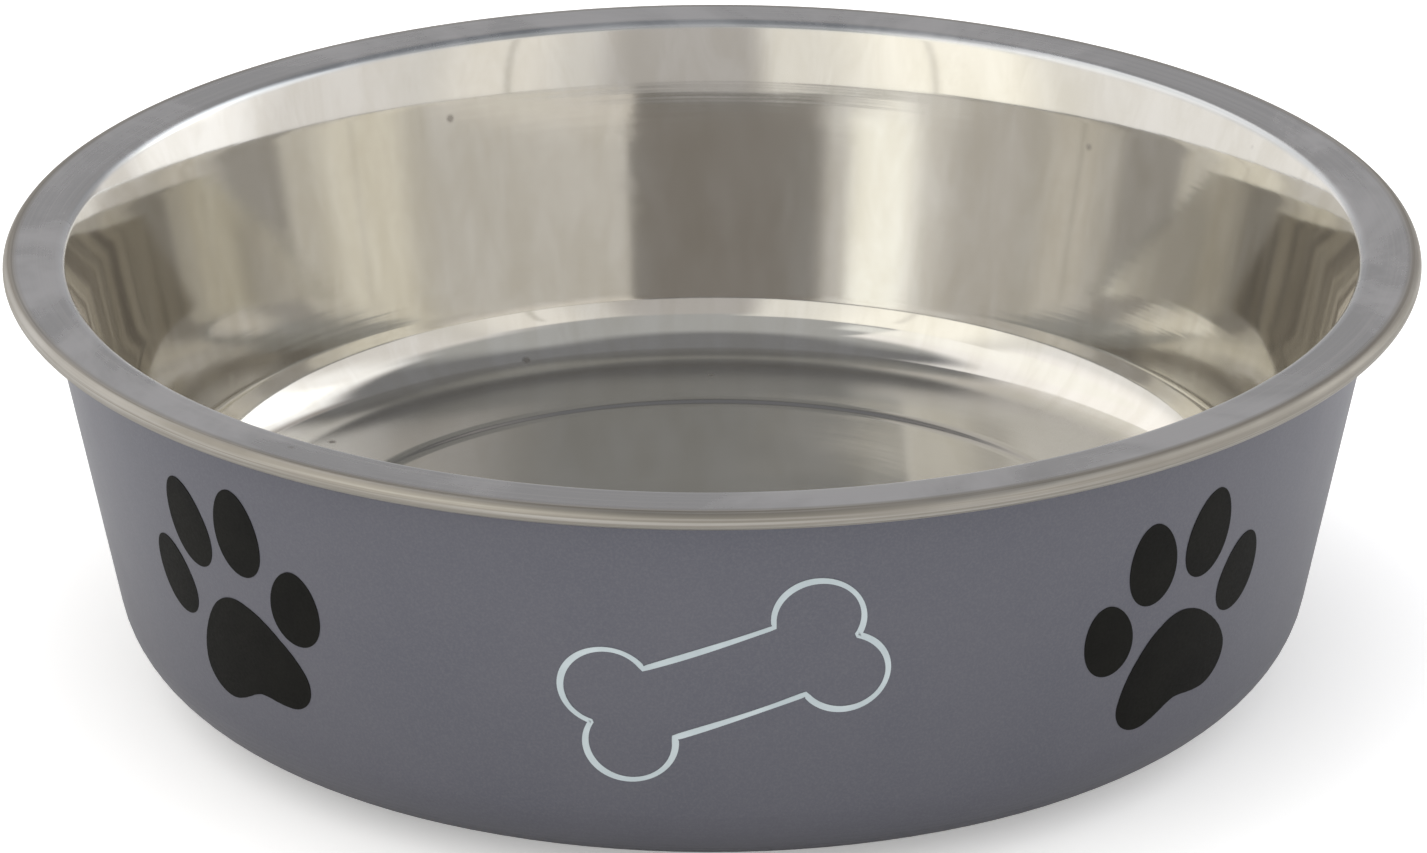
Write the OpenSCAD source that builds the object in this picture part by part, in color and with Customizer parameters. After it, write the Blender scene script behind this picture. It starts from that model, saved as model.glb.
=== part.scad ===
/* [Overall] */
// Outside diameter over the rolled rim
rim_d = 210; // [190:1:260]
// Height from the table to the top of the rim flange
rim_h = 65; // [54:1:95]

/* [Steel bowl] */
// Thickness of the steel sheet
sheet_t = 0.6; // [0.5:0.05:0.8]
// Width of the rim, from the line of the wall to the outside of the bead
flange_w = 10.1; // [7:0.1:14]
// Outside diameter of the rolled bead
bead_d = 2.8; // [2:0.1:3.4]
// Radius of the bend between the flange and the flare
bend_r = 2; // [1.8:0.1:4]
// Radius of the flare at the top of the wall
flare_r = 33; // [25:1:45]
// Height from the start of the flare to the top of the flange
flare_h = 9; // [7:0.5:12]
// Slope of the wall away from upright, in degrees
wall_slope = 11.6; // [8:0.1:15]
// Inside radius between the wall and the floor
fillet_r = 10.5; // [6:0.5:13]
// Height of the steel floor above the table
floor_h = 14.5; // [12:0.5:22]
// Distance from the adhesive to the stamped step
step_inset = 3; // [1:0.5:8]
// Width of the stamped step's ramp
step_w = 3; // [2:0.5:6]
// Depth of the stamped centre disc below the ledge
step_h = 0.6; // [0.3:0.1:1.2]

/* [Jacket] */
// Wall thickness of the moulded jacket at its base and corner
jacket_t = 2.1; // [1.6:0.1:2.8]
// Thickness of the jacket's wall at its top edge
lip_t = 3.4; // [2.6:0.1:4]
// Clearance between the steel and the jacket under the flare and the bend
liner_gap = 0.5; // [0.3:0.1:1]
// How much steeper the jacket stands than the steel wall, in degrees
jacket_taper = 0.3; // [0:0.1:1]
// Outside radius of the jacket's bottom corner
corner_r = 14; // [10:0.5:18]
// Rise of the recessed panel under the base
panel_rise = 3; // [1:0.5:4]
// Width of the flat foot between the groove and the recessed panel
foot_w = 4; // [3:0.5:7]
// Radius along the edges of the recessed panel
panel_edge_r = 1; // [0.4:0.1:1.5]
// Diameter of the moulding gate's dimple under the base
gate_d = 9; // [5:0.5:14]
// Depth of the moulding gate's dimple
gate_depth = 0.5; // [0.3:0.1:1]

/* [Ribs inside the jacket] */
// Number of upright ribs under the steel bowl
rib_count = 12; // [6:1:20]
// Thickness of a rib
rib_t = 1.6; // [1.2:0.1:2.4]
// Clearance between the ribs and the steel bowl or the adhesive
rib_gap = 0.5; // [0.3:0.1:1]
// Radius at which the ribs start
rib_start_r = 22; // [12:1:36]
// Width of the ring-shaped land that carries the adhesive
land_w = 4; // [3:0.5:6]

/* [Adhesive] */
// Thickness of the adhesive between the land and the steel floor
bond_t = 0.5; // [0.3:0.1:1]
// Width of the adhesive bead
bond_w = 5; // [4:0.5:7]

/* [Base ring] */
// Height at which the ring holds the jacket above the table
ring_lift = 1.5; // [0.8:0.1:3]
// Width of the groove for the ring
groove_w = 7; // [5:0.5:9]
// Depth of the groove for the ring
groove_depth = 2.6; // [1.8:0.1:3.4]
// Distance from the bottom corner's arc to the groove
groove_inset = 3.8; // [2.5:0.1:8]
// Clearance between the ring and each side of the groove
ring_fit = 0.05; // [0.02:0.01:0.2]
// Radius along the ring's lower edges
ring_edge_r = 1; // [0.5:0.1:1.5]

/* [Hidden] */
$fn = 180;
// Steps in each rounded stretch of an outline
arc_steps = 16;
// Angle that the sheet turns through round the bead, in degrees
curl_turn = 262;
// How far up the underside of the bend the jacket reaches, in degrees
lip_angle = 50;

// Points along an arc from one angle to another, clockwise when the second is smaller
function arc(centre, radius, from, to) = [
    for (i = [0:arc_steps])
        let (a = from + (to - from) * i / arc_steps)
            centre + radius * [cos(a), sin(a)]
];
function reversed(points) = [for (i = [len(points) - 1:-1:0]) points[i]];
function after_first(points) = [for (i = [1:len(points) - 1]) points[i]];

// Steel wall: a straight cone up to the flare, whose line meets the flange's top at this radius
mouth_r = rim_d / 2 - flange_w;
function wall_r(z) = mouth_r - (rim_h - z) * tan(wall_slope);

// Centre of the fillet between the wall and the floor
fillet_z = floor_h + fillet_r;
fillet_c = [wall_r(fillet_z) - fillet_r / cos(wall_slope), fillet_z];
// Centres of the flare and of the bend above it, which lie outside the wall
flare_z = rim_h - flare_h;
bend_z = rim_h - bend_r;
flare_c = [wall_r(flare_z) + flare_r * cos(wall_slope), flare_z - flare_r * sin(wall_slope)];
flare_end = asin((bend_z - flare_c[1]) / (flare_r - bend_r));
bend_c = [flare_c[0] - (flare_r - bend_r) * cos(flare_end), bend_z];
// Centre of the rolled bead
bead_r = bead_d / 2;
bead_c = [rim_d / 2 - bead_r, rim_h - bead_r];

// Jacket: its wall thickens upward just outside the steel wall and ends under the bend
jacket_slope = wall_slope - jacket_taper;
liner_offset = sheet_t + liner_gap;
jacket_top = bend_z + (bend_r - liner_offset) * sin(lip_angle);
jacket_top_r = wall_r(jacket_top) + (liner_offset + lip_t) / cos(wall_slope);
function jacket_r(z) = jacket_top_r - (jacket_top - z) * tan(jacket_slope);
jacket_wall = jacket_t / cos(jacket_slope);
corner_z = ring_lift + corner_r;
corner_c = [jacket_r(corner_z) - corner_r / cos(jacket_slope), corner_z];

// Groove for the base ring, with a hump of even wall over it
groove_out_r = corner_c[0] - groove_inset;
groove_in_r = groove_out_r - groove_w;
groove_mid_r = (groove_out_r + groove_in_r) / 2;
groove_top = ring_lift + groove_depth;
hump_top = groove_top + jacket_t;
hump_out_r = groove_out_r + jacket_t;

// Recessed panel inside the foot
panel_r = groove_in_r - foot_w;
panel_z = ring_lift + panel_rise;
panel_top = panel_z + jacket_t;

// Land over the groove, which carries the adhesive under the steel ledge
steel_under_z = floor_h - sheet_t;
land_top = steel_under_z - bond_t;

// Stamped step: the ramp falls from the ledge to the centre disc
step_out_r = groove_mid_r - bond_w / 2 - step_inset;
step_in_r = step_out_r - step_w;
function ramp(lower) = [
    for (i = [0:arc_steps])
        let (u = i / arc_steps)
            [step_in_r + step_w * u, floor_h - lower - step_h * (1 + cos(180 * u)) / 2]
];

// One face of the steel, lying a depth below its top face, from the axis to the end of the curl
function steel_face(depth) = concat(
    [[0, floor_h - step_h - depth]],
    ramp(depth),
    arc(fillet_c, fillet_r + depth, -90, -wall_slope),
    arc(flare_c, flare_r - depth, 180 - wall_slope, 180 - flare_end),
    after_first(arc(bend_c, bend_r - depth, 180 - flare_end, 90)),
    arc(bead_c, bead_r - depth, 90, 90 - curl_turn)
);

// The jacket's outside, from the top edge down the wall and in along the base
function jacket_outside() = concat(
    [[jacket_top_r, jacket_top]],
    arc(corner_c, corner_r, -jacket_slope, -90),
    [[groove_out_r, ring_lift], [groove_out_r, groove_top]],
    [[groove_in_r, groove_top], [groove_in_r, ring_lift]],
    arc([panel_r + panel_edge_r, ring_lift + panel_edge_r], panel_edge_r, -90, -180),
    arc([panel_r - panel_edge_r, panel_z - panel_edge_r], panel_edge_r, 0, 90),
    [[gate_d / 2, panel_z], [gate_d / 2 - gate_depth, panel_z + gate_depth]],
    [[0, panel_z + gate_depth]]
);

// The jacket's inside, from the axis out over the hump and up behind the flare and the bend
function jacket_inside() = concat(
    [[0, panel_top], [panel_r, panel_top], [groove_in_r, hump_top], [hump_out_r, hump_top]],
    [[hump_out_r, ring_lift + jacket_t]],
    arc(corner_c, corner_r - jacket_t, -90, -jacket_slope),
    arc(flare_c, flare_r - liner_offset, 180 - wall_slope, 180 - flare_end),
    after_first(arc(bend_c, bend_r - liner_offset, 180 - flare_end, 180 - lip_angle))
);

// Middle of the jacket's wall, from the panel out to the height where the ribs end
rib_offset = sheet_t + max(bond_t, step_h) + rib_gap;
rib_end_z = fillet_z - (fillet_r + rib_offset) * sin(wall_slope);
function jacket_middle() = concat(
    [[panel_r, panel_top - jacket_t / 2], [groove_in_r, hump_top - jacket_t / 2]],
    [[hump_out_r - jacket_t / 2, hump_top - jacket_t / 2]],
    [[hump_out_r - jacket_t / 2, ring_lift + jacket_t / 2]],
    arc(corner_c, corner_r - jacket_t / 2, -90, -jacket_slope),
    [[jacket_r(rib_end_z) - jacket_wall / 2, rib_end_z]]
);

// Side view of a rib: its top follows the steel, its foot runs inside the jacket's wall
function rib_outline() = concat(
    [[rib_start_r, panel_top - jacket_t / 2]],
    jacket_middle(),
    reversed(arc(fillet_c, fillet_r + rib_offset, -90, -wall_slope)),
    [[rib_start_r, floor_h - rib_offset]]
);

module inner_bowl() {
    color("silver")
        rotate_extrude()
            polygon(concat(steel_face(0), reversed(steel_face(sheet_t))));
}

module rib() {
    rotate([90, 0, 0])
        linear_extrude(rib_t, center = true)
            polygon(rib_outline());
}

module land() {
    rotate_extrude()
        translate([groove_mid_r - land_w / 2, hump_top - jacket_t / 2])
            square([land_w, land_top - hump_top + jacket_t / 2]);
}

module outer_jacket() {
    color([0.39, 0.39, 0.42])
        union() {
            rotate_extrude()
                polygon(concat(jacket_outside(), jacket_inside()));
            land();
            for (i = [0:rib_count - 1])
                rotate([0, 0, 360 * i / rib_count])
                    rib();
        }
}

// The bead of adhesive is squeezed out into a round edge on both sides
module adhesive_ring() {
    edge_r = bond_t / 2;
    edge_z = land_top + edge_r;
    reach = bond_w / 2 - edge_r;
    color([0.85, 0.82, 0.7])
        rotate_extrude()
            polygon(concat(
                arc([groove_mid_r + reach, edge_z], edge_r, 90, -90),
                arc([groove_mid_r - reach, edge_z], edge_r, -90, -270)
            ));
}

// The ring fills the groove and stands on its rounded sole
module base_ring() {
    in_r = groove_in_r + ring_fit;
    out_r = groove_out_r - ring_fit;
    color([0.12, 0.12, 0.12])
        rotate_extrude()
            polygon(concat(
                [[in_r, groove_top], [out_r, groove_top]],
                arc([out_r - ring_edge_r, ring_edge_r], ring_edge_r, 0, -90),
                arc([in_r + ring_edge_r, ring_edge_r], ring_edge_r, -90, -180)
            ));
}

inner_bowl();
outer_jacket();
adhesive_ring();
base_ring();
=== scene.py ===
"""Looks of the steel pet bowl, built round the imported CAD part. Lengths in the profiles are millimetres."""

import math

import bpy
from mathutils import Matrix, Vector


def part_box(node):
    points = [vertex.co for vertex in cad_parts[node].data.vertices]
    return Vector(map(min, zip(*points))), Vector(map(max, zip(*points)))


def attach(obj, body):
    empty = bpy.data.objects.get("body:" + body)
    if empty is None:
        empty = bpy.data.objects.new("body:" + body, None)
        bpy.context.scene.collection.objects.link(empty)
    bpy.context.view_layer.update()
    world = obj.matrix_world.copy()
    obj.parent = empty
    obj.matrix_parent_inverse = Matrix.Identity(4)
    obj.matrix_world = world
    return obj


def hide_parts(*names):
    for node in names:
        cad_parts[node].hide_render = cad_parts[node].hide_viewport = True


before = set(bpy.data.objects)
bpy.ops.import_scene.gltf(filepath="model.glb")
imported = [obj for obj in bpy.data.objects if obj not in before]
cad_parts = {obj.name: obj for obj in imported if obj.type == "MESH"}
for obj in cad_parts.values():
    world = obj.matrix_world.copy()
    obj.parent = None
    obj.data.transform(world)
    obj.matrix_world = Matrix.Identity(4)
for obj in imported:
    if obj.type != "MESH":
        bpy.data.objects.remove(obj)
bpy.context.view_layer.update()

MM = 0.001


# Sizes of the CAD part that the profiles need

RIM_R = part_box("inner_bowl")[1].x / MM
RIM_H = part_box("inner_bowl")[1].z / MM
SHEET = 0.6
FLANGE_W = 10.1
BEAD_R = 1.4
BEND_R = 2.0
FLARE_R = 33.0
FLARE_H = 9.0
SLOPE = 11.7
FILLET_R = 10.5
FLOOR_H = 14.5
STEP_OUT = 62.5
STEP_W = 3.0
STEP_H = 0.6
CURL_TURN = 262.0
JACKET_SLOPE = 11.3
LINER_GAP = 0.5
JACKET_LIP = 3.4
LIP_ANGLE = 50.0

# How finely the steel is cut: round the axis, and along each curve of its outline
BOWL_SEGMENTS = 480
STEP_STEPS = 24
FILLET_STEPS = 36
FLARE_STEPS = 20
BEND_STEPS = 24
BEAD_STEPS = 40


def tan(degrees):
    return math.tan(math.radians(degrees))


def cos(degrees):
    return math.cos(math.radians(degrees))


def sin(degrees):
    return math.sin(math.radians(degrees))


def wall_r(z):
    return RIM_R - FLANGE_W - (RIM_H - z) * tan(SLOPE)


# Flare at the top of the wall, and the bend between it and the flange
FLARE = (wall_r(RIM_H - FLARE_H) + FLARE_R * cos(SLOPE), RIM_H - FLARE_H - FLARE_R * sin(SLOPE))
FLARE_END = math.degrees(math.asin((RIM_H - BEND_R - FLARE[1]) / (FLARE_R - BEND_R)))
BEND = (FLARE[0] - (FLARE_R - BEND_R) * cos(FLARE_END), RIM_H - BEND_R)

# Top edge of the jacket, under the bend
JACKET_TOP = BEND[1] + (BEND_R - SHEET - LINER_GAP) * sin(LIP_ANGLE)
JACKET_TOP_R = wall_r(JACKET_TOP) + (SHEET + LINER_GAP + JACKET_LIP) / cos(SLOPE)


def jacket_r(z):
    return JACKET_TOP_R - (JACKET_TOP - z) * tan(JACKET_SLOPE)


# Mesh helpers

# Straight stretches over LEAST_SPLIT get points LONGEST_STEP apart, and one GUARD from each end
LEAST_SPLIT = 1.5
LONGEST_STEP = 6.0
GUARD = 0.04
# Radius under which a point of an outline lies on the axis
ON_AXIS = 1e-6
# Angles in degrees from which the edges of the steel and of the prints stay sharp
STEEL_SHARP = 35.0
PRINT_SHARP = 40.0


def arc(centre, radius, start, end, steps):
    angles = [start + (end - start) * i / steps for i in range(steps + 1)]
    return [(centre[0] + radius * cos(a), centre[1] + radius * sin(a)) for a in angles]


def filled(points):
    """Adds points along the long straight stretches. Those close to the ends keep smooth shading in the arcs."""
    out = []
    for p, q in zip(points, points[1:]):
        out.append(p)
        length = math.hypot(q[0] - p[0], q[1] - p[1])
        if length > LEAST_SPLIT:
            inner = max(1, int(length / LONGEST_STEP))
            stops = [GUARD / length] + [i / inner for i in range(1, inner)] + [1 - GUARD / length]
            out += [(p[0] + (q[0] - p[0]) * t, p[1] + (q[1] - p[1]) * t) for t in stops]
    out.append(points[-1])
    return out


def new_mesh(name, verts, faces, sharp):
    mesh = bpy.data.meshes.new(name)
    mesh.from_pydata(verts, [], faces)
    mesh.validate()
    mesh.update()
    mesh.shade_smooth()
    mesh.set_sharp_from_angle(angle=math.radians(sharp))
    obj = bpy.data.objects.new(name, mesh)
    bpy.context.scene.collection.objects.link(obj)
    return obj


def lathe(name, profile, segments):
    """Turns a closed outline of (radius, height) about Z. Points on the axis become one vertex each."""
    verts, faces, rings = [], [], []
    for r, z in profile:
        if r < ON_AXIS:
            rings.append([len(verts)] * segments)
            verts.append((0.0, 0.0, z * MM))
        else:
            rings.append(list(range(len(verts), len(verts) + segments)))
            for k in range(segments):
                a = 2 * math.pi * k / segments
                verts.append((r * MM * math.cos(a), r * MM * math.sin(a), z * MM))
    for i, a in enumerate(rings):
        b = rings[(i + 1) % len(rings)]
        if a[0] == a[1] and b[0] == b[1]:
            continue
        for k in range(segments):
            n = (k + 1) % segments
            corners = dict.fromkeys((a[k], a[n], b[n], b[k]))
            faces.append(list(corners)[::-1])
    return new_mesh(name, verts, faces, STEEL_SHARP)


# Node helpers


class Nodes:
    """Short calls for making and joining shader nodes."""

    def __init__(self, tree):
        self.tree = tree
        tree.nodes.clear()

    def add(self, kind, inputs=None, **settings):
        node = self.tree.nodes.new(kind)
        for key, value in settings.items():
            setattr(node, key, value)
        for key, value in (inputs or {}).items():
            if isinstance(value, bpy.types.NodeSocket):
                self.tree.links.new(value, node.inputs[key])
            else:
                node.inputs[key].default_value = value
        return node

    def math(self, operation, a, b=0.0):
        return self.add("ShaderNodeMath", {0: a, 1: b}, operation=operation).outputs[0]

    def plus(self, a, b):
        return self.math("ADD", a, b)

    def minus(self, a, b):
        return self.math("SUBTRACT", a, b)

    def times(self, a, b):
        return self.math("MULTIPLY", a, b)

    def ramp(self, value, low, high, out_low=0.0, out_high=1.0, smooth=True):
        node = self.add(
            "ShaderNodeMapRange",
            {"Value": value, "From Min": low, "From Max": high, "To Min": out_low, "To Max": out_high},
            interpolation_type="SMOOTHSTEP" if smooth else "LINEAR",
            clamp=True,
        )
        return node.outputs["Result"]

    def mix(self, factor, a, b):
        node = self.add("ShaderNodeMix", data_type="RGBA", blend_type="MIX")
        for key, value in ((0, factor), (6, a), (7, b)):
            if isinstance(value, bpy.types.NodeSocket):
                self.tree.links.new(value, node.inputs[key])
            else:
                node.inputs[key].default_value = value if key == 0 else (*value, 1.0)
        return node.outputs[2]

    def mix_shaders(self, factor, a, b):
        return self.add("ShaderNodeMixShader", {0: factor, 1: a, 2: b}).outputs[0]

    def noise(self, vector, scale, detail=2.0, rough=0.5, distortion=0.0):
        node = self.add(
            "ShaderNodeTexNoise",
            {"Vector": vector, "Scale": scale, "Detail": detail, "Roughness": rough, "Distortion": distortion},
        )
        return node.outputs["Fac"]

    def vector(self, x, y, z):
        return self.add("ShaderNodeCombineXYZ", {0: x, 1: y, 2: z}).outputs[0]

    def split(self, vector):
        return self.add("ShaderNodeSeparateXYZ", {0: vector}).outputs[:3]

    def bump(self, height, distance, strength=1.0, normal=None):
        inputs = {"Height": height, "Distance": distance, "Strength": strength}
        if normal is not None:
            inputs["Normal"] = normal
        return self.add("ShaderNodeBump", inputs).outputs["Normal"]

    def point(self):
        """The point on the object, in metres."""
        return self.add("ShaderNodeTexCoord").outputs["Object"]

    def light_path(self, output):
        return self.add("ShaderNodeLightPath").outputs[output]

    def principled(self, colour, rough, normal, others=None):
        inputs = {"Base Color": colour, "Roughness": rough, "Normal": normal, **(others or {})}
        return self.add("ShaderNodeBsdfPrincipled", inputs).outputs[0]

    def finish(self, shader):
        self.add("ShaderNodeOutputMaterial", {"Surface": shader})


def new_material(name):
    material = bpy.data.materials.new(name)
    material.use_nodes = True
    return material, Nodes(material.node_tree)


# Materials

# Zones of the steel in metres, each from where it starts to where it is full
FLANGE_IN, FLANGE_UP = (0.0955, 0.0962), (0.0635, 0.0642)
BEAD_OUT = (0.1026, 0.1040)
FLOOR_IN = (0.0815, 0.0745)
LEDGE_OUT, LEDGE_IN = (0.0610, 0.0690), (0.0815, 0.0765)

# Steel colours, each from dark to light
WALL_COLOURS = (0.590, 0.572, 0.528), (0.640, 0.627, 0.594)
FLOOR_COLOURS = (0.400, 0.392, 0.378), (0.440, 0.432, 0.420)
FLANGE_COLOURS = (0.462, 0.482, 0.502), (0.596, 0.612, 0.636)
# The bead is painted darker and warmer than the flange of the same sheet: painted shade for its dimmer look
BEAD_SHADED_COLOURS = (0.30, 0.282, 0.25), (0.42, 0.398, 0.36)
# Colours of the painted bounce light that the steel glows with where rays have bounced three times or more
DEEP_LIGHT = (0.20, 0.17, 0.135), (0.56, 0.51, 0.42)
SPOT_COLOUR = (0.25, 0.23, 0.21)
LINE_COLOUR = (0.66, 0.67, 0.68)

# How deep the steel's waves, turned bands, brush lines and grain are, in metres
WAVE, FLOOR_WAVE, BAND, BRUSH, GRAIN = 0.00007, 0.00016, 0.000004, 0.0000018, 0.0000008
# Least radius in metres that a direction round the axis is divided by
LEAST_R = 0.0005
# The Ray Depth over which light has bounced three times or more
DEEP_RAY = 2.5


def steel_material():
    material, n = new_material("pressed_steel")
    xyz = n.point()
    x, y, z = n.split(xyz)
    r = n.math("SQRT", n.plus(n.times(x, x), n.times(y, y)))
    safe_r = n.math("MAXIMUM", r, LEAST_R)
    cx, cy = n.math("DIVIDE", x, safe_r), n.math("DIVIDE", y, safe_r)

    def round_noise(around, height, across, detail, rough, distortion=0.0):
        """Noise whose grain follows the turning: its scale round the axis, and across it by a height."""
        place = n.vector(n.times(cx, around), n.times(cy, around), n.times(height, across))
        return n.noise(place, 1.0, detail, rough, distortion)

    along = n.plus(r, z)
    lines = round_noise(0.9, along, 2300.0, 3.0, 0.6)
    bands = round_noise(1.4, along, 700.0, 2.0, 0.6)
    drawn = round_noise(13.0, z, 60.0, 4.0, 0.6, 0.5)
    stripes = round_noise(9.0, z, 8.0, 2.0, 0.5)
    patch = n.noise(xyz, 22.0, 4.0, 0.55)
    cloud = n.noise(xyz, 17.0, 5.0, 0.62, 1.2)
    smear = n.noise(xyz, 60.0, 5.0, 0.65)
    grain = n.noise(xyz, 900.0, 2.0)
    wave = n.noise(xyz, 26.0, 1.0, 0.4, 0.7)

    # Zones
    bead = n.ramp(r, *BEAD_OUT)
    flange = n.math("MAXIMUM", n.times(n.ramp(r, *FLANGE_IN), n.ramp(z, *FLANGE_UP)), bead)
    flat_floor = n.ramp(r, *FLOOR_IN)
    ledge = n.times(n.ramp(r, *LEDGE_OUT), n.ramp(r, *LEDGE_IN))

    # Small dark spots in a few cells
    cells = n.add("ShaderNodeTexVoronoi", {"Vector": xyz, "Scale": 170.0}, feature="F1")
    chance = n.add("ShaderNodeSeparateColor", {0: cells.outputs["Color"]}).outputs[0]
    spot = n.times(n.ramp(cells.outputs["Distance"], 0.16, 0.05), n.ramp(chance, 0.955, 0.965))

    # Roughness: polished inside, brushed on the flange and the bead, duller where worn or marked
    polished = n.ramp(patch, 0.3, 0.75, 0.050, 0.085, smooth=False)
    brushed = n.ramp(patch, 0.3, 0.7, 0.25, 0.31, smooth=False)
    rough = n.plus(polished, n.times(flange, n.minus(brushed, polished)))
    for more in (
        n.times(n.minus(lines, 0.5), n.ramp(flange, 0.0, 1.0, 0.03, 0.07)),
        n.ramp(smear, 0.60, 0.78, 0.0, 0.07),
        n.times(ledge, 0.12),
        n.times(flange, n.ramp(cloud, 0.40, 0.60, -0.05, 0.06)),
        n.times(bead, 0.20),
        n.times(spot, 0.25),
    ):
        rough = n.plus(rough, more)

    # Colour
    wall = n.mix(n.ramp(drawn, 0.32, 0.68), *WALL_COLOURS)
    bottom = n.mix(n.ramp(patch, 0.35, 0.7), *FLOOR_COLOURS)
    rim = n.mix(n.ramp(cloud, 0.42, 0.60), *FLANGE_COLOURS)
    # Painted shade: the bead gets darker, warmer colours than the flange, varied along its lines
    shaded_bead = n.mix(n.ramp(lines, 0.35, 0.7), *BEAD_SHADED_COLOURS)
    clean = n.mix(flange, n.mix(flat_floor, wall, bottom), n.mix(bead, rim, shaded_bead))
    marked = n.mix(n.times(spot, 0.7), clean, SPOT_COLOUR)
    lined = n.times(n.ramp(lines, 0.45, 0.65), n.ramp(flange, 0.0, 1.0, 0.04, 0.22))
    colour = n.mix(lined, marked, LINE_COLOUR)

    # Relief
    pressing = n.bump(wave, n.plus(WAVE, n.times(flat_floor, FLOOR_WAVE)))
    spun = n.bump(bands, BAND, 1.0, pressing)
    brush = n.bump(n.times(lines, n.ramp(flange, 0.0, 1.0, 0.2, 0.6)), BRUSH, 1.0, spun)
    fine = n.bump(grain, GRAIN, 1.0, brush)

    tangent = n.add("ShaderNodeTangent", direction_type="RADIAL", axis="Z").outputs[0]
    steel = n.principled(
        colour,
        rough,
        fine,
        {"Metallic": 0.94, "Tangent": tangent, "Anisotropic": 0.25, "Anisotropic Rotation": 0.25},
    )
    # Painted light: where a ray has bounced three times or more, the steel glows with a painted level of bounce light,
    # because the render stops following it
    deep = n.math("GREATER_THAN", n.light_path("Ray Depth"), DEEP_RAY)
    usual = n.mix(n.ramp(stripes, 0.40, 0.60), *DEEP_LIGHT)
    painted_glow = n.add("ShaderNodeEmission", {"Color": usual, "Strength": 1.0}).outputs[0]
    n.finish(n.mix_shaders(deep, steel, painted_glow))
    material.cycles.emission_sampling = "NONE"
    return material


def jacket_material():
    material, n = new_material("satin_grey_coat")
    xyz = n.point()
    mottle = n.noise(xyz, 45.0, 3.0, 0.6)
    flake = n.noise(xyz, 2600.0, 2.0, 0.7)
    peel = n.noise(xyz, 420.0, 2.0, 0.5)
    base = n.mix(n.ramp(mottle, 0.3, 0.7), (0.108, 0.111, 0.139), (0.117, 0.119, 0.146))
    colour = n.mix(n.ramp(flake, 0.35, 0.75, 0.0, 0.5), base, (0.155, 0.158, 0.182))
    rough = n.ramp(mottle, 0.3, 0.7, 0.36, 0.42, smooth=False)
    relief = n.bump(flake, 0.000010, 0.8, n.bump(peel, 0.000030, 0.6))
    n.finish(n.principled(colour, rough, relief, {"Metallic": 0.3, "Specular IOR Level": 0.5}))
    return material


def rubber_material():
    material, n = new_material("base_rubber")
    xyz = n.point()
    grain = n.noise(xyz, 1500.0, 3.0, 0.6)
    dust = n.noise(xyz, 90.0, 4.0, 0.65)
    colour = n.mix(n.ramp(dust, 0.45, 0.75), (0.018, 0.018, 0.018), (0.045, 0.044, 0.042))
    rough = n.ramp(dust, 0.3, 0.7, 0.62, 0.78, smooth=False)
    n.finish(n.principled(colour, rough, n.bump(grain, 0.00004, 0.6)))
    return material


def adhesive_material():
    material, n = new_material("cured_adhesive")
    cloud = n.noise(n.point(), 160.0, 3.0)
    colour = n.mix(cloud, (0.66, 0.63, 0.50), (0.74, 0.72, 0.60))
    n.finish(n.principled(colour, n.ramp(cloud, 0.3, 0.7, 0.3, 0.45), n.bump(cloud, 0.0001, 0.5)))
    return material


def ink_material(name, dark, light, low, high):
    """Printing ink between two colours and two roughnesses."""
    material, n = new_material(name)
    xyz = n.point()
    cloud = n.noise(xyz, 130.0, 3.0, 0.6)
    grain = n.noise(xyz, 2200.0, 2.0, 0.6)
    colour = n.mix(n.ramp(cloud, 0.3, 0.7), dark, light)
    rough = n.ramp(grain, 0.3, 0.7, low, high, smooth=False)
    n.finish(n.principled(colour, rough, n.bump(grain, 0.00001, 0.7), {"Specular IOR Level": 0.12}))
    return material


# Steel bowl


def steel_bowl():
    fillet_z = FLOOR_H + FILLET_R
    fillet = (wall_r(fillet_z) - FILLET_R / cos(SLOPE), fillet_z)
    bead = (RIM_R - BEAD_R, RIM_H - BEAD_R)

    def face(depth):
        """One face of the sheet, lying a depth below its top face, from the axis to the end of the curl."""
        step = []
        for i in range(STEP_STEPS + 1):
            u = i / STEP_STEPS
            height = FLOOR_H - depth - STEP_H * (1 + cos(180 * u)) / 2
            step.append((STEP_OUT - STEP_W + STEP_W * u, height))
        return filled(
            [(0.0, FLOOR_H - STEP_H - depth)]
            + step
            + arc(fillet, FILLET_R + depth, -90, -SLOPE, FILLET_STEPS)
            + arc(FLARE, FLARE_R - depth, 180 - SLOPE, 180 - FLARE_END, FLARE_STEPS)
            + arc(BEND, BEND_R - depth, 180 - FLARE_END, 90, BEND_STEPS)[1:]
            + arc(bead, BEAD_R - depth, 90, 90 - CURL_TURN, BEAD_STEPS)
        )

    bowl = lathe("steel_bowl", face(0.0) + face(SHEET)[::-1], BOWL_SEGMENTS)
    bowl.data.materials.append(steel_material())
    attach(bowl, "root")
    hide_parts("inner_bowl")


# Prints: closed films of ink that follow the jacket's cone, a little out of its wall and a little into it

FILM_OUT = 0.06
FILM_IN = -0.05
# Corners of a line's cross-section: its side and its height
FILM_SECTION = ((1, FILM_OUT), (0, FILM_OUT), (-1, FILM_OUT), (-1, FILM_IN), (0, FILM_IN), (1, FILM_IN))


def on_jacket(phi, z, lift):
    """A point over the jacket, phi degrees from -Y towards +X, lifted off the wall by some millimetres."""
    r = jacket_r(z) + lift / cos(JACKET_SLOPE)
    return (r * sin(phi) * MM, -r * cos(phi) * MM, z * MM)


def moved(phi, z, u, v):
    """The place that lies u millimetres round the jacket and v up its wall from another."""
    height = z + v * cos(JACKET_SLOPE)
    return phi + math.degrees(u / jacket_r(height)), height


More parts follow.
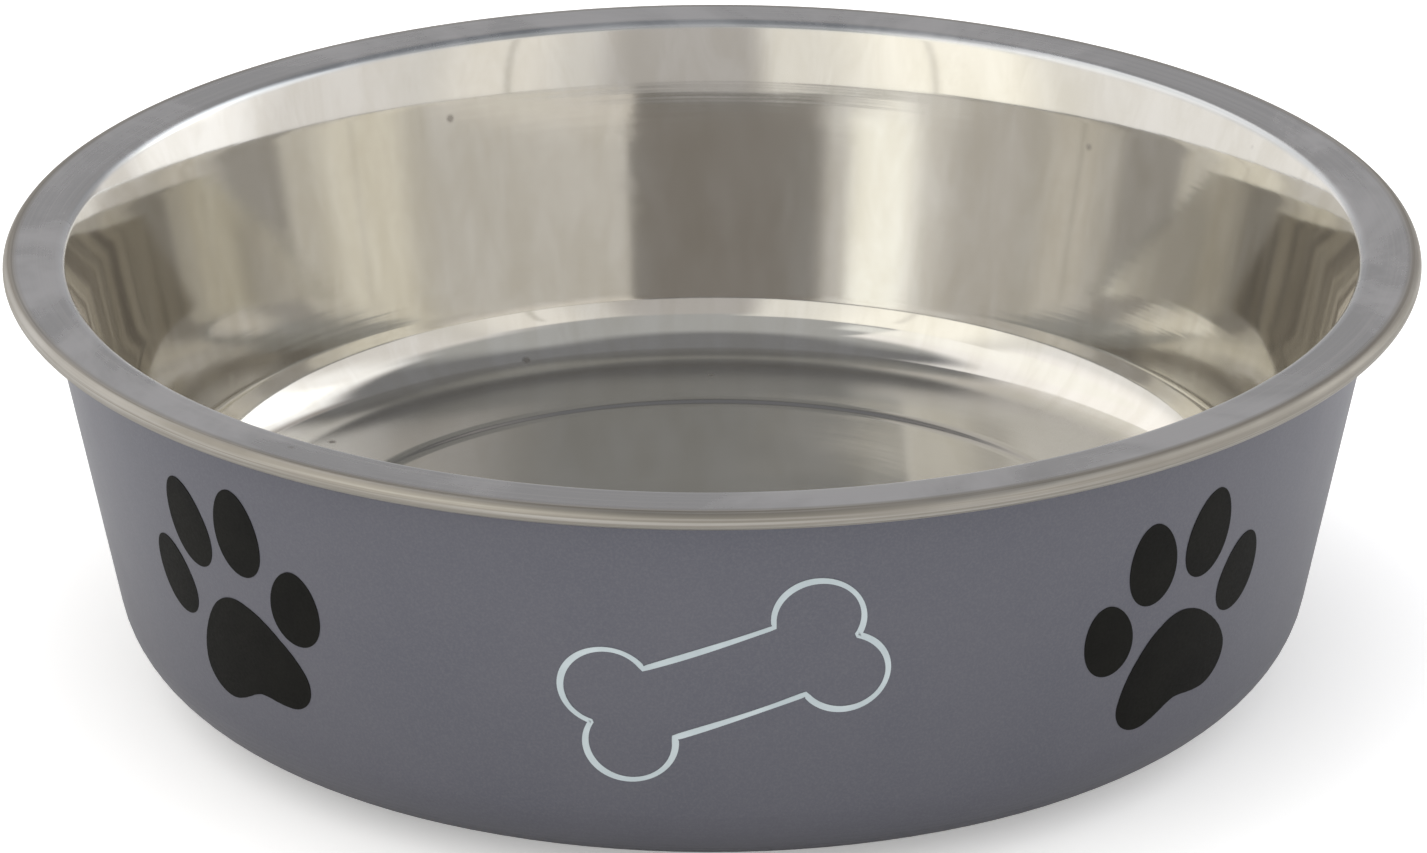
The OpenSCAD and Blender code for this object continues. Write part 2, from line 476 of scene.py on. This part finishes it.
def blob(phi, z, outline, rings):
    """A filled print from an outline that every ray from its centre meets once."""
    verts, faces = [], []
    count = len(outline)
    for lift in (FILM_OUT, FILM_IN):
        start = len(verts)
        verts.append(on_jacket(phi, z, lift))
        for k in range(1, rings + 1):
            t = k / rings
            verts += [on_jacket(*moved(phi, z, u * t, v * t), lift) for u, v in outline]
        for i in range(count):
            j = (i + 1) % count
            tri = (start, start + 1 + i, start + 1 + j)
            faces.append(tri if lift == FILM_OUT else tri[::-1])
            for k in range(rings - 1):
                a = start + 1 + k * count
                quad = (a + i, a + count + i, a + count + j, a + j)
                faces.append(quad if lift == FILM_OUT else quad[::-1])
    top = 1 + (rings - 1) * count
    under = 1 + rings * count + top
    for i in range(count):
        j = (i + 1) % count
        faces.append((top + j, top + i, under + i, under + j))
    return verts, faces


def stroke(phi, z, path, widths):
    """A closed line print of changing width along a path."""
    verts, faces = [], []
    count, corners = len(path), len(FILM_SECTION)
    for i, (x, y) in enumerate(path):
        a, b = path[i - 1], path[(i + 1) % count]
        dx, dy = b[0] - a[0], b[1] - a[1]
        size = math.hypot(dx, dy)
        nx, ny = dy / size, -dx / size
        for side, lift in FILM_SECTION:
            half = side * widths[i] / 2
            verts.append(on_jacket(*moved(phi, z, x + nx * half, y + ny * half), lift))
    for i in range(count):
        j = (i + 1) % count
        for k in range(corners):
            m = (k + 1) % corners
            faces.append((i * corners + k, i * corners + m, j * corners + m, j * corners + k))
    return verts, faces


def print_mesh(name, parts, material):
    """One print from several closed films."""
    verts, faces = [], []
    for v, f in parts:
        base = len(verts)
        verts += v
        faces += [tuple(base + i for i in face) for face in f]
    obj = new_mesh(name, verts, faces, PRINT_SHARP)
    obj.data.materials.append(material)
    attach(obj, "root")


def turned(points, degrees):
    c, s = cos(degrees), sin(degrees)
    return [(x * c - y * s, x * s + y * c) for x, y in points]


# Toes of a paw: offsets from the pad's centre in millimetres, length, width and tilt
TOES = [
    (-15.0, 8.8, 12.6, 8.6, 108.0),
    (-8.8, 19.8, 14.4, 9.0, 103.0),
    (2.5, 21.6, 14.6, 9.2, 88.0),
    (12.0, 11.8, 12.8, 9.1, 81.0),
]
# How much narrower a toe is at its far end, as a share
TOE_TAPER = 0.12
TOE_POINTS, TOE_RINGS = 64, 5

# Lobes of the pad: offsets from its centre and radii in millimetres, the bulge between two, and how softly they blend
TOP_LOBE = (-0.6, 3.0, 5.7)
LOW_LOBES = [(-5.9, -3.9, 4.9), (7.2, -1.5, 4.8)]
LOBE_BULGE = 1.0
LOBE_BLEND = 0.9
LOBE_STEPS = 8
PAD_POINTS, PAD_RINGS = 144, 9
# A radius that is surely outside the pad, and how often the way to its edge is halved
PAD_REACH = 20.0
PAD_HALVINGS = 24


def toe(length, width, degrees):
    """An egg: the end away from the pad is a little narrower."""
    points = []
    for i in range(TOE_POINTS):
        a = 2 * math.pi * i / TOE_POINTS
        v = math.sin(a) * length / 2
        u = math.cos(a) * width / 2 * (1 - TOE_TAPER * math.sin(a))
        points.append((v, -u))
    return turned(points, degrees)


def depth_in(u, v, lobe):
    """How deep a point lies in the bulging hull of the top lobe and a low one, in millimetres."""
    depths = []
    for i in range(LOBE_STEPS + 1):
        cu, cv, size = [top + (low - top) * i / LOBE_STEPS for top, low in zip(TOP_LOBE, lobe)]
        bulge = LOBE_BULGE * 4 * i * (LOBE_STEPS - i) / LOBE_STEPS**2
        depths.append(size + bulge - math.hypot(u - cu, v - cv))
    return max(depths)


def pad():
    """A plain paw pad: a round top lobe that runs out into a smaller lobe low on each side."""
    points = []
    for i in range(PAD_POINTS):
        a = 360.0 * i / PAD_POINTS
        inside, outside = 0.0, PAD_REACH
        for _ in range(PAD_HALVINGS):
            mid = (inside + outside) / 2
            u, v = mid * cos(a), mid * sin(a)
            field = sum(math.exp(LOBE_BLEND * depth_in(u, v, lobe)) for lobe in LOW_LOBES)
            if field > 1.0:
                inside = mid
            else:
                outside = mid
        points.append((inside * cos(a), inside * sin(a)))
    return points


def paw(phi, z):
    parts = [blob(*moved(phi, z, u, v), toe(*shape), TOE_RINGS) for u, v, *shape in TOES]
    parts.append(blob(phi, z, pad(), PAD_RINGS))
    return parts


# Places of the paws, in degrees round the jacket and millimetres up. The back repeats the front.
PAWS = ((-46.5, 25.3), (46.4, 23.7), (133.5, 25.3), (226.4, 23.7))

# The bone: its length, the width of its shaft and the radius of its knobs, and how far the knobs lie apart as a share
BONE_LENGTH, BONE_SHAFT, BONE_KNOB = 45.0, 7.5, 6.4
KNOB_SPREAD = 0.78
KNOB_STEPS, SHAFT_STEPS = 40, 24
BONE_TILT = 21.0
BONE_PHI, BONE_Z = 1.0, 34.5
# Its line's width, how much that swells and how many times round
LINE_WIDTH, LINE_SWELL, LINE_SWELLS = 0.88, 0.14, 7


def bone_path():
    """A plain bone outline, the same at both ends: two round knobs joined to a straight shaft."""
    cx, cy = BONE_LENGTH / 2 - BONE_KNOB, BONE_KNOB * KNOB_SPREAD
    notch = math.degrees(math.asin(cy / BONE_KNOB))
    inner = 180 - math.degrees(math.asin((cy - BONE_SHAFT / 2) / BONE_KNOB))
    upper = arc((cx, cy), BONE_KNOB, -notch, inner, KNOB_STEPS)
    lower = [(x, -y) for x, y in upper][::-1]
    right = lower + upper
    left = [(-x, -y) for x, y in right]
    loop = []
    for part, after in ((right, left), (left, right)):
        loop += part
        a, b = part[-1], after[0]
        shares = [i / SHAFT_STEPS for i in range(1, SHAFT_STEPS)]
        loop += [(a[0] + (b[0] - a[0]) * t, a[1] + (b[1] - a[1]) * t) for t in shares]
    return loop


def prints():
    dark = ink_material("dark_ink", (0.0022, 0.0022, 0.0014), (0.0045, 0.0045, 0.0030), 0.55, 0.65)
    pale = ink_material("pale_ink", (0.50, 0.58, 0.62), (0.58, 0.66, 0.70), 0.45, 0.55)
    for k, (phi, z) in enumerate(PAWS):
        print_mesh("paw_print_%d" % (k + 1), paw(phi, z), dark)
    path = turned(bone_path(), BONE_TILT)
    turns = [2 * math.pi * i / len(path) for i in range(len(path))]
    widths = [LINE_WIDTH + LINE_SWELL * math.sin(LINE_SWELLS * a) for a in turns]
    for k in range(2):
        line = stroke(BONE_PHI + 180 * k, BONE_Z, path, widths)
        print_mesh("bone_print_%d" % (k + 1), [line], pale)


# Floor, light and camera

FLOOR_REACH = 6.0

# The lamp's power in watts, its width and its height in metres
LAMP_WATTS = 14.0
LAMP_SIZE = 1.6
LAMP_H = 1.9

# The camera, fitted to the photograph: its place, what it looks at, its roll in degrees, and its lens in millimetres
CAMERA_AT = (0.000166, -1.202570, 0.528728)
CAMERA_AIM = (0.000166, 0.0, 0.034971)
CAMERA_ROLL = -0.104
CAMERA_LENS = 219.23
CAMERA_SENSOR = 36.0
CAMERA_CLIP = (0.05, 50.0)


def floor():
    """A plain floor. The camera sees it white but for the bowl's shadow, and the bowl gets its usual light from it."""
    mesh = bpy.data.meshes.new("floor")
    corners = [(x * FLOOR_REACH, y * FLOOR_REACH, 0) for x, y in ((-1, -1), (1, -1), (1, 1), (-1, 1))]
    mesh.from_pydata(corners, [], [(0, 1, 2, 3)])
    obj = bpy.data.objects.new("floor", mesh)
    bpy.context.scene.collection.objects.link(obj)
    material, n = new_material("pale_floor")
    pale = n.mix(n.noise(n.point(), 3.0), (0.86, 0.86, 0.865), (0.88, 0.88, 0.885))
    plain = n.add("ShaderNodeBsdfDiffuse", {"Color": pale}).outputs[0]
    white = n.add("ShaderNodeBsdfDiffuse", {"Color": (0.93, 0.935, 0.945, 1.0)}).outputs[0]
    glow = n.add("ShaderNodeEmission", {"Color": (1, 1, 1, 1), "Strength": 0.35}).outputs[0]
    seen = n.add("ShaderNodeAddShader", {0: white, 1: glow}).outputs[0]
    n.finish(n.mix_shaders(n.light_path("Is Camera Ray"), plain, seen))
    mesh.materials.append(material)


def studio():
    """A soft studio that the steel mirrors. Where the camera sees it, it is white."""
    world = bpy.data.worlds.new("studio")
    bpy.context.scene.world = world
    world.use_nodes = True
    n = Nodes(world.node_tree)
    x, y, z = n.split(n.add("ShaderNodeTexCoord").outputs["Generated"])
    degrees = math.degrees(1.0)
    back = n.times(n.math("ARCTAN2", x, y), degrees)
    front = n.times(n.math("ARCTAN2", x, n.times(y, -1.0)), degrees)
    height = n.times(n.math("ARCSINE", z), degrees)

    def band(value, low, high, soft_low, soft_high):
        rise = n.ramp(value, low - soft_low / 2, low + soft_low / 2)
        fall = n.ramp(value, high - soft_high / 2, high + soft_high / 2, 1.0, 0.0)
        return n.times(rise, fall)

    def screen(sky, around, sides, heights, colour, soft_sides, soft_heights):
        """Lays a screen over the sky. Its sides, its heights and the softness of each are in degrees."""
        share = n.times(band(around, *sides, *soft_sides), band(height, *heights, *soft_heights))
        return n.mix(share, sky, colour)

    def tinted(level, red, blue):
        return (level * red, level, level * blue)

    # Ceiling: dark overhead, paler over the front
    sky = n.mix(n.ramp(height, 47, 54), tinted(0.43, 1.07, 0.97), tinted(0.245, 0.99, 1.06))
    sky = screen(sky, front, (-100, 88), (38, 74), tinted(0.55, 0.99, 1.00), (40, 40), (4, 12))
    # Left screen with a brighter upper half
    sky = screen(sky, back, (-156, -31), (-10, 40), tinted(1.17, 1.02, 0.98), (18, 3), (4, 3))
    sky = screen(sky, back, (-133, -31), (30, 65), tinted(1.36, 1.03, 0.98), (4, 4), (12, 7))
    sky = screen(sky, back, (-90, -31), (30, 56), tinted(1.52, 1.03, 0.97), (50, 4), (16, 12))
    # Right screen with a bright strip
    sky = screen(sky, back, (40, 134), (-10, 44), tinted(1.02, 1.03, 0.98), (12, 30), (4, 8))
    sky = screen(sky, back, (44, 96), (26, 50), tinted(1.55, 1.00, 1.01), (10, 24), (12, 7))
    sky = screen(sky, back, (56, 88), (-10, 44), tinted(1.50, 1.01, 1.00), (12, 16), (4, 8))
    sky = screen(sky, back, (53, 76), (16, 43), tinted(2.55, 0.99, 0.98), (10, 14), (8, 8))
    # Grey board behind
    sky = screen(sky, back, (-30.5, 40), (-10, 31), tinted(0.49, 1.03, 1.00), (3, 10), (4, 4))
    sky = screen(sky, back, (-26, 28), (18, 46), tinted(0.41, 1.07, 0.97), (14, 20), (8, 8))
    # Front: two upper screens at the left, a panel on each side of a darker gap, each brighter in its middle
    sky = screen(sky, front, (-60, -35), (46, 56), tinted(1.15, 1.00, 0.97), (10, 8), (3, 7))
    sky = screen(sky, front, (-120, -46), (38, 57), tinted(1.50, 1.02, 0.95), (10, 3), (4, 12))
    sky = screen(sky, front, (-72, -8), (-10, 43.9), tinted(1.13, 1.03, 0.94), (10, 12), (4, 1.2))
    sky = screen(sky, front, (-62, -28), (-10, 43.9), tinted(1.52, 1.03, 0.91), (14, 20), (4, 1.2))
    sky = screen(sky, front, (-8, 19), (-10, 41), tinted(0.61, 1.04, 0.97), (8, 8), (4, 3))
    sky = screen(sky, front, (19, 60), (-10, 40), tinted(0.94, 1.03, 0.96), (10, 12), (4, 2.4))
    sky = screen(sky, front, (30, 50), (-10, 40), tinted(1.13, 1.04, 0.94), (12, 14), (4, 2.4))
    # A thin seam in each panel
    sky = screen(sky, front, (37.2, 38.6), (-10, 34), tinted(0.80, 1.04, 0.92), (1.2, 1.2), (4, 6))
    sky = screen(sky, front, (-42.4, -41.0), (-10, 34), tinted(1.14, 1.04, 0.92), (1.2, 1.2), (4, 6))

    light = n.add("ShaderNodeBackground", {"Color": sky, "Strength": 1.0}).outputs[0]
    plain = n.add("ShaderNodeBackground", {"Color": (1, 1, 1, 1), "Strength": 1.0}).outputs[0]
    shown = n.mix_shaders(n.light_path("Is Camera Ray"), light, plain)
    n.add("ShaderNodeOutputWorld", {"Surface": shown})


def ceiling_lamp():
    """A wide soft lamp over the bowl that lights the floor and the jacket. The steel doesn't mirror it."""
    data = bpy.data.lights.new("ceiling_lamp", "AREA")
    data.shape = "DISK"
    data.size = LAMP_SIZE
    data.energy = LAMP_WATTS
    obj = bpy.data.objects.new("ceiling_lamp", data)
    obj.location = (0.0, 0.0, LAMP_H)
    obj.visible_glossy = False
    bpy.context.scene.collection.objects.link(obj)


def camera():
    place, aim = Vector(CAMERA_AT), Vector(CAMERA_AIM)
    forward = (aim - place).normalized()
    right = forward.cross(Vector((0, 0, 1))).normalized()
    up = right.cross(forward)
    turn = Matrix((right, up, -forward)).transposed().to_4x4()
    data = bpy.data.cameras.new("camera")
    data.sensor_fit = "HORIZONTAL"
    data.sensor_width = CAMERA_SENSOR
    data.lens = CAMERA_LENS
    data.clip_start, data.clip_end = CAMERA_CLIP
    obj = bpy.data.objects.new("camera", data)
    bpy.context.scene.collection.objects.link(obj)
    obj.matrix_world = Matrix.Translation(place) @ turn @ Matrix.Rotation(math.radians(CAMERA_ROLL), 4, "Z")
    bpy.context.scene.camera = obj


# The whole scene

CAD_MATERIALS = {
    "outer_jacket": jacket_material,
    "adhesive_ring": adhesive_material,
    "base_ring": rubber_material,
}

steel_bowl()
for name, make in CAD_MATERIALS.items():
    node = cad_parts[name]
    node.data.materials.clear()
    node.data.materials.append(make())
prints()
floor()
studio()
ceiling_lamp()
camera()
bpy.context.scene.view_settings.view_transform = "Standard"
